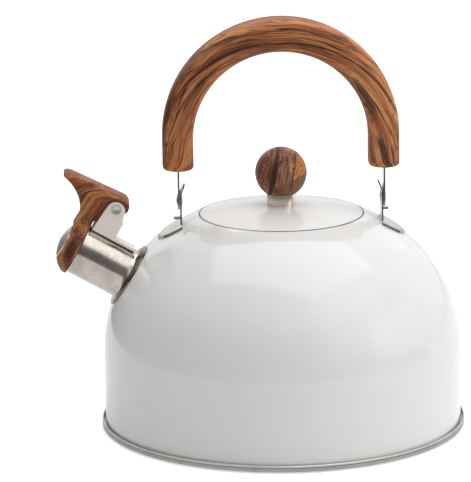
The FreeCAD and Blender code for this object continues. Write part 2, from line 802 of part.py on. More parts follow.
def spring_slot():
    """Slot in the middle of the hub, open below, with room for the coil and its legs."""
    reach = D["PinRadius"] + D["SpringGap"] + D["SpringWire"] * 1.8
    tool = slab("spring_slot", "XZ_Plane", [
        (-D["BracketHalf"] * 3, -reach),
        (0, -reach),
        (reach, 0, reach, 1),
        (0, reach, reach, 1),
        (-D["BracketHalf"] * 3, reach),
    ], D["SpringSlotHalf"] * 2)
    place_on_spout(tool, across=D["PivotRise"], along=D["PivotAlong"])
    return tool


def ear_recesses():
    """Space on both sides of the hub that the bracket ears sweep through."""
    around = D["EarRecess"]
    back, low = -D["RecessBack"], -D["RecessDrop"]
    ahead = D["BracketHalf"] + D["EarSideGap"]
    far = D["PivotRise"] * 2
    tools = []
    for name, side in (("recess_front", -1), ("recess_back", 1)):
        body = slab(name, "XZ_Plane", [
            (-far, -far),
            (low, -far),
            (low, back - around),
            (low + around, back, around, 1),
            (low, back + around, around, 1),
            (low, ahead),
            (-far, ahead),
        ], D["HeadRadius"])
        tilt = D["SpoutTilt"]
        across, along = D["PivotRise"], D["PivotAlong"]
        place(body,
              x=D["SpoutFootX"] - along * cosine(tilt) + across * sine(tilt),
              y=(D["HubHalf"] + D["HeadRadius"] / 2) * side,
              z=D["SpoutFootZ"] + along * sine(tilt) + across * cosine(tilt),
              axis=(0, 1, 0), angle=tilt - 90)
        tools.append(body)
    return tools


def build_whistle():
    """Domed cap in the head and the plate that covers the mouth, each with its hole."""
    rim = D["WoodBack"]
    cap = D["CapRadius"]
    thin = D["CapSheet"]
    crest = rim + D["HeadDepth"] + 0.2
    dome = (cap * cap + D["CapRise"] * D["CapRise"]) / (D["CapRise"] * 2)
    centre = crest + D["CapRise"] - dome
    hole = D["WhistleHole"]
    inner = dome - thin
    inside = cap - thin
    body = spun("cap", [
        (inside, rim),
        (cap, rim),
        (cap, crest),
        (hole, centre + root(dome * dome - hole * hole), dome, 1),
        (hole, centre + root(inner * inner - hole * hole)),
        (inside, centre + root(inner * inner - inside * inside), inner, -1),
    ])
    place_on_spout(body)
    node(body, "whistle_cap")
    edge = D["HeadRadius"] - D["PlateMargin"]
    plate = spun("plate", [
        (hole, rim - D["PlateSheet"]),
        (edge, rim - D["PlateSheet"]),
        (edge, rim),
        (hole, rim),
    ])
    place_on_spout(plate)
    node(plate, "whistle_plate")


def build_spring():
    """Closely wound torsion spring on the pin with one leg on the foot, one on the lever."""
    wire = D["SpringWire"] / 2
    coil = D["PinRadius"] + D["SpringGap"] + wire
    tilt = D["SpoutTilt"]
    across, along = D["PivotRise"], D["PivotAlong"]
    x = D["SpoutFootX"] - along * cosine(tilt) + across * sine(tilt)
    z = D["SpoutFootZ"] + along * sine(tilt) + across * cosine(tilt)
    turns = []
    for i in range(5):
        turn = doc.addObject("Part::Torus", "spring_turn_%d" % i)
        bind(turn, "Radius1", coil)
        bind(turn, "Radius2", wire)
        place(turn, x=x, y=D["SpringWire"] * (0.95 * (i - 2)), z=z, axis=(1, 0, 0), angle=90)
        turns.append(turn)
    reach = D["PivotRise"] - D["SpoutRadius"] - D["BracketSheet"] - wire
    for name, u, side, bend, length in (
            ("leg_foot", -coil, -1, size(0), reach),
            ("leg_lever", coil * 0.3, 1, D["SpringBend"], D["SpringArm"])):
        leg = rod(name, wire * 0.9, length)
        drop = -coil * 0.9 if side > 0 else wire
        place(leg,
              x=x - u * cosine(tilt) + drop * sine(tilt),
              y=D["SpringWire"] * (1.9 * side),
              z=z + u * sine(tilt) + drop * cosine(tilt),
              axis=(0, 1, 0), angle=tilt + 180 + bend)
        turns.append(leg)
    node(fused("spring", turns), "lever_spring")


# ---------------------------------------------------------------- handle
def build_ear(label, half_turn):
    """Sheet ear: a leaf welded to the body, an upright tab for the rivet and a stop lug."""
    inside, outside = D["TabInside"], D["TabOutside"]
    hinge = D["HingeLevel"]
    tab = slab(label + "_tab", "XZ_Plane", [
        (inside, crown(outside) - D["LeafReach"] / 2),
        (outside, crown(outside) - D["LeafReach"] / 2),
        (outside, hinge + D["EarBend"]),
        (outside - D["EarLean"], hinge + D["EarTop"]),
        (inside - D["EarLean"], hinge + D["EarTop"]),
        (inside, hinge + D["EarBend"]),
    ], D["EarHalf"] * 2)
    rounding = sketch_on(tab, label + "_corners", "YZ_Plane")
    high = hinge + D["EarTop"] * 2
    shoulder = hinge + D["EarTop"] - D["EarHalf"]
    for side in (-1, 1):
        outline(rounding, [
            (D["EarHalf"] * (2 * side), shoulder),
            (D["EarHalf"] * (2 * side), high),
            (0, high),
            (0, hinge + D["EarTop"]),
            (D["EarHalf"] * side, shoulder, D["EarHalf"], side * -1),
        ])
    pocket(tab, label + "_rounding", rounding, outside * 3)
    round_end = D["LeafHalf"]
    near = inside
    far = outside + D["LeafReach"]
    leaf_form = slab(label + "_footprint", "XY_Plane", [
        (near, -D["LeafHalf"]),
        (far - round_end, -D["LeafHalf"]),
        (far, 0, round_end, 1),
        (far - round_end, D["LeafHalf"], round_end, 1),
        (near, D["LeafHalf"]),
    ], D["HingeLevel"] * 2)
    leaf = common(label + "_leaf", shell_layer(label + "_layer", D["LeafSheet"]), leaf_form)
    lug = block(label + "_lug", D["EarSheet"] + D["LugReach"], D["LugWidth"], D["LugSheet"])
    place(lug, x=inside, y=D["EarHalf"] - D["LugWidth"] / 2,
          z=hinge - D["StrapHalf"] - D["LugGap"] - D["LugSheet"])
    hole = rod(label + "_hole", D["RivetRadius"], outside)
    place(hole, x=outside / 2, z=hinge, axis=(0, 1, 0), angle=90)
    tab_on_body = cut(label + "_tab_foot", tab, dome_form(label + "_seat", 0))
    whole = fused(label + "_whole", [tab_on_body, leaf, lug])
    ear = cut(label + "_form", whole, hole)
    place(ear, angle=half_turn)
    node(ear, label)


def build_rivet(label, half_turn):
    """Two-headed rivet that the strap turns on."""
    start = D["TabInside"]
    end = D["StrapInside"] + D["StrapSheet"] + D["StrapGap"] / 2
    head = D["RivetHeadRadius"]
    rise = D["RivetHeadHeight"]
    dome = (head * head + rise * rise) / (rise * 2)
    rivet = spun(label + "_form", [
        (0, start - rise),
        (head, start, dome, 1),
        (D["RivetRadius"], start),
        (D["RivetRadius"], end),
        (head, end),
        (0, end + rise, dome, 1),
    ])
    place(rivet, z=D["HingeLevel"], axis=(0, 1, 0), angle=90 if half_turn == 0 else -90)
    node(rivet, label)


def strap_outline():
    half = D["StrapHalf"]
    low = D["HingeLevel"] - D["StrapEnd"]
    corner = D["StrapEnd"] * 0.6
    high = D["GripEnd"] + D["StrapTuck"]
    return [
        (-half, low + corner),
        (-half + corner, low, corner, 1),
        (half - corner, low),
        (half, low + corner, corner, 1),
        (half, high),
        (-half, high),
    ]


def build_strap(label, side):
    strap = slab(label + "_form", "YZ_Plane", strap_outline(), D["StrapSheet"],
                 holes=[(0, D["HingeLevel"], D["RivetRadius"] + D["RivetGap"])])
    place(strap, x=D["HandleReach"] * side)
    node(strap, label)


def build_grip():
    inside, outside = D["GripInside"], D["GripOutside"]
    low = D["GripEnd"]
    body = slab("grip", "XZ_Plane", [
        (outside, low),
        (outside, D["GripOuterArc"]),
        (0, D["GripOuterArc"] + outside, outside, 1),
        (-outside, D["GripOuterArc"], outside, 1),
        (-outside, low),
        (-inside, low),
        (-inside, D["GripArc"]),
        (0, D["GripArc"] + inside, inside, -1),
        (inside, D["GripArc"], inside, -1),
        (inside, low),
    ], D["GripDepth"])
    doc.recompute()
    blank = body.Tip
    long_edges = [name for name, edge in numbered(blank, "Edge")
                  if abs(abs(edge.CenterOfMass.y) - D["GripDepth"].value / 2) < 0.01
                  and edge.CenterOfMass.z > low.value + 1]
    soften = body.newObject("PartDesign::Fillet", "grip_round")
    soften.Base = (blank, long_edges)
    bind(soften, "Radius", D["GripRound"])
    doc.recompute()
    end_edges = [name for name, edge in numbered(soften, "Edge")
                 if edge.BoundBox.ZMax < low.value + 0.01]
    ends = body.newObject("PartDesign::Fillet", "grip_ends")
    ends.Base = (soften, end_edges)
    bind(ends, "Radius", D["GripEndRound"])
    slots = sketch_on(body, "grip_slots", "XY_Plane")
    for side in (-1, 1):
        near = D["HandleReach"] * side - D["StrapSheet"] / 2
        far = near + D["StrapSheet"]
        outline(slots, [
            (near, -D["StrapHalf"]),
            (far, -D["StrapHalf"]),
            (far, D["StrapHalf"]),
            (near, D["StrapHalf"]),
        ])
    pocket(body, "grip_strap_slots", slots, (low + D["StrapTuck"]) * 2)
    node(body, "handle_grip")


def numbered(feature, kind):
    shapes = getattr(feature.Shape, kind + "s")
    return [("%s%d" % (kind, i + 1), shape) for i, shape in enumerate(shapes)]


# ---------------------------------------------------------------- build and export
build_body_shell()
build_base()
build_lid()
build_knob()
build_spout()
build_bracket()
build_pin()
build_lever()
build_whistle()
build_spring()
for suffix, turn_angle, turn_side in (("right", 0, 1), ("left", 180, -1)):
    build_ear("ear_" + suffix, turn_angle)
    build_rivet("rivet_" + suffix, turn_angle)
    build_strap("strap_" + suffix, turn_side)
build_grip()
doc.recompute()

for item in doc.Objects:
    if "Invalid" in item.State or "Error" in item.State:
        raise RuntimeError("%s did not build: %s" % (item.Name, item.State))
for name, before, after in CUTS:
    if not after < before - 1e-6:
        raise RuntimeError("%s removes nothing" % name)
for item in NODES:
    if item.Shape.isNull() or not item.Shape.isValid():
        raise RuntimeError("%s has no valid shape" % item.Label)
    if len(item.Shape.Solids) != 1:
        raise RuntimeError("%s has %d solids" % (item.Label, len(item.Shape.Solids)))

os.makedirs("parts", exist_ok=True)
for item in NODES:
    item.Shape.exportStep("parts/%s.step" % item.Label)
    print("%-15s %10.1f mm3" % (item.Label, item.Shape.Volume))
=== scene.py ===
"""Looks of the stovetop whistling kettle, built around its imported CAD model.

Metres, in the CAD frame: the spout points along -X, the handle arches in the XZ plane.
"""
import json
import math

import bmesh
import bpy
from mathutils import Matrix, Vector


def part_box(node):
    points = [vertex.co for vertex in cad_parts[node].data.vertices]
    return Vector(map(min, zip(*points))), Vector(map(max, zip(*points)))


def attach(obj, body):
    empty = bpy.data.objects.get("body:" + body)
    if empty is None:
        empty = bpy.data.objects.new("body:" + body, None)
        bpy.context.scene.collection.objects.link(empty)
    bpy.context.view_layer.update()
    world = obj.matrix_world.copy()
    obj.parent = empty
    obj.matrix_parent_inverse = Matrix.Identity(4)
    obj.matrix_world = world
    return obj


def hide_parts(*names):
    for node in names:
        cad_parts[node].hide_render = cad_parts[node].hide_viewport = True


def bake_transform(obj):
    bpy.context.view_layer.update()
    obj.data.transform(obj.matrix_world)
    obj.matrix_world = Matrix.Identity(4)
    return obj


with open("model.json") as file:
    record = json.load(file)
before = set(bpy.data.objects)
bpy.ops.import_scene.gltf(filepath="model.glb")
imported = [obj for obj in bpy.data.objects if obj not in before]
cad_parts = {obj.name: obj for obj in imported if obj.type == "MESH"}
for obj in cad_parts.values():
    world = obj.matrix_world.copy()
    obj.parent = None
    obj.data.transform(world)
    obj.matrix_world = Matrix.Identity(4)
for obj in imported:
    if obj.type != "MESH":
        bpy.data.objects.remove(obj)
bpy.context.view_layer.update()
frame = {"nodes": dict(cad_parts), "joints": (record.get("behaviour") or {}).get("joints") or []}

MM = 0.001
scene = bpy.context.scene

# ---------------------------------------------------------------- helpers


def tone(r, g, b):
    """Linear colour from 0-255 values as seen on screen."""
    def linear(c):
        c /= 255.0
        return c / 12.92 if c <= 0.04045 else ((c + 0.055) / 1.055) ** 2.4
    return (linear(r), linear(g), linear(b), 1.0)


class Graph:
    """The node tree of one material. Each method adds nodes and gives back an output."""

    def __init__(self, name):
        self.material = bpy.data.materials.new(name)
        self.material.use_nodes = True
        self.tree = self.material.node_tree
        self.tree.nodes.clear()

    def node(self, kind, inputs=None, **settings):
        made = self.tree.nodes.new("ShaderNode" + kind)
        for key, value in settings.items():
            setattr(made, key, value)
        for key, value in (inputs or {}).items():
            self.feed(made.inputs[key], value)
        return made

    def feed(self, socket, value):
        if isinstance(value, bpy.types.NodeSocket):
            self.tree.links.new(value, socket)
        else:
            socket.default_value = value

    def math(self, operation, a, b=0.0, c=0.0):
        return self.node("Math", {0: a, 1: b, 2: c}, operation=operation).outputs[0]

    def vector(self, operation, a, b):
        return self.node("VectorMath", {0: a, 1: b}, operation=operation).outputs[0]

    def dot(self, a, b):
        made = self.node("VectorMath", {0: a, 1: b}, operation="DOT_PRODUCT")
        return made.outputs["Value"]

    def hypot(self, a, b):
        squares = self.math("ADD", self.math("MULTIPLY", a, a), self.math("MULTIPLY", b, b))
        return self.math("SQRT", squares)

    def away_from(self, value, middle):
        return self.math("ABSOLUTE", self.math("SUBTRACT", value, middle))

    def product(self, *masks):
        made = masks[0]
        for mask in masks[1:]:
            made = self.math("MULTIPLY", made, mask)
        return made

    def split(self, vector):
        return self.node("SeparateXYZ", {0: vector}).outputs

    def join(self, x, y, z):
        return self.node("CombineXYZ", {0: x, 1: y, 2: z}).outputs[0]

    def noise(self, vector, detail=2.0, roughness=0.5):
        made = self.node("TexNoise", {"Vector": vector, "Scale": 1.0, "Detail": detail,
                                      "Roughness": roughness, "Distortion": 0.0})
        return made.outputs[0]

    def cloudy(self, place, cells, detail, roughness=0.5):
        """Noise with this many cells to the metre."""
        return self.noise(self.vector("MULTIPLY", place, (cells, cells, cells)), detail,
                          roughness)

    def fit(self, value, low, high, to_low=0.0, to_high=1.0, smooth=True):
        made = self.node("MapRange", {0: value, 1: low, 2: high, 3: to_low, 4: to_high})
        made.interpolation_type = "SMOOTHSTEP" if smooth else "LINEAR"
        return made.outputs[0]

    def ramp(self, value, stops):
        made = self.node("ValToRGB", {0: value})
        elements = made.color_ramp.elements
        while len(elements) < len(stops):
            elements.new(0.5)
        for element, (place, colour) in zip(elements, stops):
            element.position = place
            element.color = colour
        return made.outputs[0]

    def mix(self, factor, a, b):
        made = self.node("Mix", data_type="RGBA", blend_type="MIX", clamp_factor=True)
        self.feed(made.inputs[0], factor)
        self.feed(made.inputs[6], a)
        self.feed(made.inputs[7], b)
        return made.outputs[2]

    def bump(self, height, distance, strength=1.0):
        made = self.node("Bump", {"Height": height, "Distance": distance,
                                  "Strength": strength})
        return made.outputs[0]

    def finish(self, shader):
        out = self.node("OutputMaterial")
        self.tree.links.new(shader.outputs[0], out.inputs[0])
        return self.material

    def surface(self, **inputs):
        shader = self.node("BsdfPrincipled")
        for key, value in inputs.items():
            self.feed(shader.inputs[key.replace("_", " ")], value)
        return self.finish(shader)


def spot(g):
    """The rest position of a point of the piece, so that a texture moves with it."""
    return g.node("TexCoord").outputs["Object"]


def facing(g):
    """The direction that the surface faces."""
    return g.node("NewGeometry").outputs["Normal"]


# ---------------------------------------------------------------- where things are

SPOUT_TILT = math.radians(30)
PIVOT_RUN = 0.0242           # the lever's pivot beyond the foot of the spout
PIVOT_RISE = 0.03235         # and above the spout's axis
BALL_RADIUS = 0.0152
INNER_CENTRE = 0.040         # inner faces look towards this level on the kettle's axis
BODY_CENTRE = 0.046          # the faces of the ears' leaves look away from this level
LEAF_MIDDLE = 0.0600         # centre of the round leaf that is welded to the body
LEAF_HALF = 0.0132

whistle_joint = next(j for j in frame["joints"] if j["name"] == "whistle_pivot")
PIVOT = Vector(whistle_joint["pos_m"])
SPOUT_ALONG = Vector((-math.cos(SPOUT_TILT), 0, math.sin(SPOUT_TILT)))
SPOUT_ACROSS = Vector((math.sin(SPOUT_TILT), 0, math.cos(SPOUT_TILT)))
SPOUT_FOOT = PIVOT - SPOUT_ALONG * PIVOT_RUN - SPOUT_ACROSS * PIVOT_RISE
RIM_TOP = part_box("base_pan")[1].z
BALL_CENTRE = Vector((0, 0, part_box("lid_knob")[1].z - BALL_RADIUS))

# ---------------------------------------------------------------- materials

SHADOW_RING_INSIDE = 0.04795         # painted shadow ring where the lid meets its recess
SHADOW_RING_OUTSIDE = 0.0488
SHADOW_RING_FADE = 0.0005
SHADOW_RING_ABOVE = 0.110            # keeps the ring off the base
SMOOTHEST, ROUGHEST = 0.15, 0.19
BARE_ROUGHER = 0.2           # the bare steel inside is rougher than the enamel by this
COAT_ROUGHNESS = 0.03


def lacquer(name, gloss, coat):
    """White enamel outside with a painted shadow ring round the lid's seam, bare brushed steel
    on the faces that look inward.
    """
    g = Graph(name)
    place = spot(g)
    x, y, z = g.split(place)
    outward = g.join(x, y, g.math("SUBTRACT", z, INNER_CENTRE))
    inner = g.math("LESS_THAN", g.dot(facing(g), outward), 0.0)
    broad = g.cloudy(place, 14, 2)
    skin = g.cloudy(place, 420, 1)
    radius = g.hypot(x, y)
    seam_shadow = g.product(g.math("GREATER_THAN", radius, SHADOW_RING_INSIDE),
                    g.fit(radius, SHADOW_RING_OUTSIDE, SHADOW_RING_OUTSIDE + SHADOW_RING_FADE, 1.0, 0.0),
                    g.math("GREATER_THAN", z, SHADOW_RING_ABOVE))
    enamel = g.mix(broad, tone(244, 244, 242), tone(248, 248, 247))
    # painted shadow: the enamel turns dark grey in a ring round the lid's seam
    enamel = g.mix(seam_shadow, enamel, tone(110, 111, 113))
    bare = g.mix(broad, tone(168, 165, 160), tone(186, 183, 178))
    shine = g.fit(skin, 0.3, 0.7, SMOOTHEST, ROUGHEST)
    return g.surface(
        Base_Color=g.mix(inner, enamel, bare),
        Metallic=inner,
        Roughness=g.math("MULTIPLY_ADD", inner, BARE_ROUGHER, shine),
        Specular_IOR_Level=gloss,
        Coat_Weight=coat,
        Coat_Roughness=COAT_ROUGHNESS,
        Normal=g.bump(skin, 0.00004, 0.25))


BRUSH_LINES = 900.0          # brush lines to the metre
# dark tone that painted shade on the steel is mixed towards
PAINTED_SHADE_TONE = (58, 56, 54)


def steel(name, light, dark, roughness, along, spread=0.06, relief=0.2, metallic=1.0,
          shade=None):
    """Brushed metal between two tones. along scales the brush lines on each axis.

    shade(graph, place) may give a factor of painted shade that darkens parts of the piece.
    """
    g = Graph(name)
    place = spot(g)
    lines = g.noise(g.vector("MULTIPLY", place, tuple(BRUSH_LINES * a for a in along)),
                    detail=3, roughness=0.6)
    cloud = g.cloudy(place, 60, 4, roughness=0.6)
    colour = g.mix(g.fit(cloud, 0.3, 0.7), tone(*dark), tone(*light))
    colour = g.mix(g.fit(lines, 0.35, 0.65, 0.0, 0.35), colour, tone(*dark))
    if shade:
        # painted shade: parts of the piece darkened towards a dark tone
        colour = g.mix(shade(g, place), colour, tone(*PAINTED_SHADE_TONE))
    rough = g.fit(g.math("ADD", lines, cloud), 0.7, 1.3, roughness - spread,
                  roughness + spread, smooth=False)
    return g.surface(Base_Color=colour, Metallic=metallic, Roughness=rough,
                     Normal=g.bump(lines, 0.00003, relief))


EDGE_SHADE = 0.58
BORDER_SHADE = 0.55
BORDER_FROM, BORDER_TO = LEAF_HALF - 0.0021, LEAF_HALF - 0.0008


def painted_edge_shade(g, place):
    """Painted shade on the cut edges of the sheet ears and straps, and a painted dark border
    round the leaves, for the shade and dark reflection along their edges.
    """
    x, y, z = g.split(place)
    turned = facing(g)
    outward = g.join(x, y, g.math("SUBTRACT", z, BODY_CENTRE))
    outward = g.node("VectorMath", {0: outward}, operation="NORMALIZE").outputs[0]
    lying_face = g.dot(turned, outward)
    upright_face = g.math("ABSOLUTE", g.split(turned)[0])
    face = g.math("MAXIMUM", upright_face, lying_face)
    edge = g.fit(face, 0.6, 0.85, EDGE_SHADE, 0.0)
    from_middle = g.hypot(g.math("SUBTRACT", g.math("ABSOLUTE", x), LEAF_MIDDLE), y)
    border = g.product(g.fit(from_middle, BORDER_FROM, BORDER_TO, 0.0, BORDER_SHADE),
                       g.fit(lying_face, 0.9, 0.96))
    return g.math("MAXIMUM", edge, border)


GROOVE_LEVEL = RIM_TOP - 0.0022
GROOVE_HALF = 0.0005
GROOVE_SHADE, BELOW_SHADE = 0.75, 0.3


def rim_groove_shade(g, place):
    """Painted shade on the rolled rim: a dark line along its middle, and a darker half below it.
    """
    height = g.split(place)[2]
    line = g.fit(g.away_from(height, GROOVE_LEVEL), 0.0001, GROOVE_HALF, GROOVE_SHADE, 0.0)
    below = g.fit(height, GROOVE_LEVEL - 0.0004, GROOVE_LEVEL, BELOW_SHADE, 0.0)
    return g.math("MAXIMUM", line, below)


LIP_FROM, LIP_TO = 0.0155, 0.0166        # distance from the spout's axis
LIP_SHADE = 0.8


def flange_shade(g, place):
    """Darker steel on the lip round the foot of the spout."""
    offset = g.vector("SUBTRACT", place, SPOUT_FOOT)
    run = g.dot(offset, SPOUT_ALONG)
    away = g.math("SQRT", g.math("SUBTRACT", g.dot(offset, offset),
                                 g.math("MULTIPLY", run, run)))
    return g.fit(away, LIP_FROM, LIP_TO, 0.0, LIP_SHADE)


WOOD_TONES = (
    (0.24, tone(82, 45, 35)),
    (0.38, tone(146, 85, 54)),
    (0.49, tone(186, 114, 69)),
    (0.61, tone(212, 143, 88)),
    (0.76, tone(238, 184, 126)),
)
WOOD_DARK = (48, 28, 26)
WANDER = 9.0                 # how far the grain wanders sideways
FINENESS = 0.6               # share of the fine lines in the grain


def wood(name, grain, tones=WOOD_TONES, seed=0.0, marks=(), width=1.0, patch=None):
    """Printed wood look. grain(graph) gives millimetres along, across and through the grain.

    marks are dark streaks: middle and half length along the grain, place across it, lean,
    half width, strength. patch(graph, colour, fine) may paint over the plain grain.
    """
    g = Graph(name)
    along, across, through = g.split(grain(g))
    wander = g.noise(g.join(g.math("MULTIPLY", along, 0.022), seed,
                            g.math("MULTIPLY", across, 0.03)), detail=2)
    bent = g.math("MULTIPLY_ADD", g.math("SUBTRACT", wander, 0.5), WANDER * width, across)

    def grained(lengthways, crossways, depthways, shift, **more):
        return g.noise(g.join(g.math("MULTIPLY_ADD", along, lengthways, shift + seed),
                              g.math("MULTIPLY", bent, crossways / width),
                              g.math("MULTIPLY", through, depthways / width)), **more)

    def ridge(value, half_width):
        return g.fit(g.away_from(value, 0.5), half_width * 0.25, half_width, 1.0, 0.0)

    # cells to the millimetre along, across and through the grain, and a shift of its own
    band = grained(0.011, 0.17, 0.11, 3.1, detail=3, roughness=0.55)
    fine = grained(0.032, 1.0, 0.7, 7.7, detail=4, roughness=0.72)
    pore = grained(0.11, 2.3, 1.7, 1.9, detail=2, roughness=0.6)
    streak = grained(0.014, 0.36, 0.24, 23.3, detail=1)
    vein = grained(0.010, 0.17, 0.10, 11.3, detail=2, roughness=0.5)
    where = grained(0.013, 0.07, 0.07, 17.9, detail=1)

    value = g.math("MULTIPLY_ADD", g.math("SUBTRACT", fine, 0.5), FINENESS, band)
    colour = g.ramp(value, tones)
    dark = tone(*WOOD_DARK)
    streaks = g.product(ridge(streak, 0.05), g.fit(pore, 0.35, 0.6, 0.1, 0.6))
    veins = g.product(ridge(vein, 0.028), g.fit(where, 0.42, 0.58, 0.0, 0.8))
    colour = g.mix(streaks, colour, dark)
    colour = g.mix(veins, colour, dark)
    if patch:
        colour = patch(g, colour, fine)
    for centre, half, middle, lean, breadth, strength in marks:
        reach = g.fit(g.away_from(along, centre), half * 0.45, half, 1.0, 0.0)
        line_at = g.math("MULTIPLY_ADD", g.math("SUBTRACT", along, centre), lean, middle)
        ragged = g.math("MULTIPLY_ADD", g.math("SUBTRACT", fine, 0.5), breadth * 2.0,
                        g.away_from(across, line_at))
        mask = g.product(g.fit(ragged, breadth * 0.3, breadth, 1.0, 0.0), reach, strength)
        colour = g.mix(mask, colour, dark)
    colour = g.mix(g.fit(pore, 0.60, 0.70, 0.0, 0.5), colour, dark)
    height = g.math("MULTIPLY_ADD", pore, -1.0, g.math("MULTIPLY", fine, 0.4))
    return g.surface(Base_Color=colour, Roughness=g.fit(fine, 0.3, 0.7, 0.42, 0.54),
                     Specular_IOR_Level=0.2, Normal=g.bump(height, 0.00012, 0.5))


def along_curve(g):
    """Grain as it is stored on the points of the piece."""
    return g.node("Attribute", attribute_name="grain").outputs["Vector"]


KNOB_LEAN = -0.2             # the knob's grain leans sideways


def up_the_knob(g):
    """Grain that runs up and down the knob, in millimetres from its centre."""
    x, y, z = g.split(g.vector("SUBTRACT", spot(g), BALL_CENTRE))
    tall = g.math("MULTIPLY", z, 1 / MM)
    side = g.math("MULTIPLY_ADD", tall, KNOB_LEAN, g.math("MULTIPLY", x, 1 / MM))
    return g.join(tall, side, g.math("MULTIPLY", y, 1 / MM))


# ---------------------------------------------------------------- mesh pieces


def mesh_object(name, verts, faces, smooth=True):
    mesh = bpy.data.meshes.new(name)
    mesh.from_pydata(verts, [], faces)
    mesh.polygons.foreach_set("use_smooth", [smooth] * len(mesh.polygons))
    mesh.update()
    made = bpy.data.objects.new(name, mesh)
    scene.collection.objects.link(made)
    return made


def set_grain(piece, grains):
    """Stores for each point its place along, across and through the grain, in millimetres."""
    attribute = piece.data.attributes.new("grain", "FLOAT_VECTOR", "POINT")
    for entry, grain in zip(attribute.data, grains):
        entry.vector = grain


def tube_faces(loops, count):
    """Faces between loops of points that follow each other, with a flat face at each end."""
    faces = []
    for low in range(0, (loops - 1) * count, count):
        for j in range(count):
            beside = (j + 1) % count
            faces.append((low + j, low + beside, low + count + beside, low + count + j))
    faces.append(tuple(reversed(range(count))))
    faces.append(tuple((loops - 1) * count + j for j in range(count)))
    return faces


def rounded_section(half_a, half_b, radius, per_corner):
    """Points round a rounded rectangle, starting on the +a side."""
    points = []
    for corner, (sa, sb) in enumerate(((1, 1), (-1, 1), (-1, -1), (1, -1))):
        for step in range(per_corner):
            angle = math.radians(corner * 90 + 90.0 * step / (per_corner - 1))
            points.append((sa * (half_a - radius) + radius * math.cos(angle),
                           sb * (half_b - radius) + radius * math.sin(angle)))
    return points


# ---------------------------------------------------------------- handle grip, in millimetres

GRIP_INSIDE = 51.4           # radii of the inner and outer faces of the arch
GRIP_OUTSIDE = 69.6
GRIP_CROWN = 20.0            # thickness at the top
GRIP_DEPTH = 24.0
GRIP_ROUND = 8.4
END_ROUND = 2.4
END_BULGE = 0.7
ARCH_STEPS = 120
LEG_STEPS = 10
CORNER_STEPS = 12
END_STEPS = 6
CAP_SHARES = (0.12, 0.35, 0.6, 0.82, 0.94)
END_CLEAR = 0.3              # between the last loop of an end and the first of the leg
ROUND_SHRINK = 0.6           # how much the section's corners tighten towards an end
GRAIN_DRIFT = 20.0           # the grain drifts inwards by this at the lower ends
DRIFT_POWER = 1.5
grip_box_low, grip_box_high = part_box("handle_grip")
GRIP_LOW = grip_box_low.z / MM
ARC_LEVEL = grip_box_high.z / MM - GRIP_CROWN - GRIP_INSIDE
OUTER_ARC = grip_box_high.z / MM - GRIP_OUTSIDE


def grip_stations():
    """(inner point, outer point, distance along the grip) from the right end to the left."""
    stations = []
    for i in range(LEG_STEPS):
        z_in = GRIP_LOW + (ARC_LEVEL - GRIP_LOW) * i / LEG_STEPS
        z_out = GRIP_LOW + (OUTER_ARC - GRIP_LOW) * i / LEG_STEPS
        stations.append(((GRIP_INSIDE, z_in), (GRIP_OUTSIDE, z_out)))
    for i in range(ARCH_STEPS + 1):
        angle = math.pi * i / ARCH_STEPS
        c, s = math.cos(angle), math.sin(angle)
        stations.append(((GRIP_INSIDE * c, ARC_LEVEL + GRIP_INSIDE * s),
                         (GRIP_OUTSIDE * c, OUTER_ARC + GRIP_OUTSIDE * s)))
    for (xi, zi), (xo, zo) in reversed(stations[:LEG_STEPS]):
        stations.append(((-xi, zi), (-xo, zo)))
    middles = [Vector(((a[0] + b[0]) / 2, (a[1] + b[1]) / 2)) for a, b in stations]
    run = [0.0]
    for one, two in zip(middles, middles[1:]):
        run.append(run[-1] + (two - one).length)
    half = run[-1] / 2
    return [(a, b, r - half) for (a, b), r in zip(stations, run)]


def end_loops():
    """(inset, share, lift) of the loops that close one end, from its middle outwards."""
    loops = [(END_ROUND, share, END_BULGE * share * share) for share in CAP_SHARES]
    for step in range(END_STEPS + 1):
        turn = math.radians(90.0 * step / END_STEPS)
        loops.append((END_ROUND * (1 - math.sin(turn)), 1.0,
                      END_BULGE + END_ROUND * (1 - math.cos(turn))))
    return loops


def build_grip():
    """Loops of points along the arch, closed by a rounded, slightly domed face at each end."""
    stations = grip_stations()
    clear = GRIP_LOW + END_BULGE + END_ROUND + END_CLEAR
    loops = [(stations[0],) + loop for loop in end_loops()]
    loops += [(station, 0.0, 1.0, 0.0) for station in stations if station[0][1] > clear]
    loops += [(stations[-1],) + loop for loop in reversed(end_loops())]
    verts, grains = [], []
    length = abs(stations[0][2])
    for (inner, outer, run), inset, share, lift in loops:
        inner, outer = Vector(inner), Vector(outer)
        middle = (inner + outer) / 2
        half = (outer - inner).length / 2 - inset
        across = (outer - inner).normalized()
        drift = GRAIN_DRIFT * (abs(run) / length) ** DRIFT_POWER
        for a, b in rounded_section(half, GRIP_DEPTH / 2 - inset,
                                    GRIP_ROUND - inset * ROUND_SHRINK, CORNER_STEPS):
            point = middle + across * (a * share)
            verts.append((point.x * MM, b * share * MM, (point.y + lift) * MM))
            grains.append((run, a * share - drift, b * share))
    piece = mesh_object("grip_wood", verts, tube_faces(len(loops), CORNER_STEPS * 4))
    bm = bmesh.new()
    bm.from_mesh(piece.data)
    bmesh.ops.recalc_face_normals(bm, faces=bm.faces)
    bm.to_mesh(piece.data)
    bm.free()
    set_grain(piece, grains)
    return piece


grip = build_grip()
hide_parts("handle_grip")
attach(grip, "handle")
grip.data.materials.append(wood(
    "grip_woodgrain", along_curve, seed=4.0,
    marks=((-10, 120, -3.8, 0.0, 1.0, 0.85), (-30, 70, 2.4, 0.0, 0.5, 0.6),
           (-67, 17, -14.2, 0.1, 2.6, 0.8), (-108, 20, -18.5, 0.0, 3.2, 0.8),
           (66, 60, -9.5, 0.0, 0.7, 0.55), (45, 50, 4.0, 0.0, 0.9, 0.6),
           (80, 50, -3.4, -0.23, 2.5, 0.6))))

# ---------------------------------------------------------------- whistle lever, in millimetres

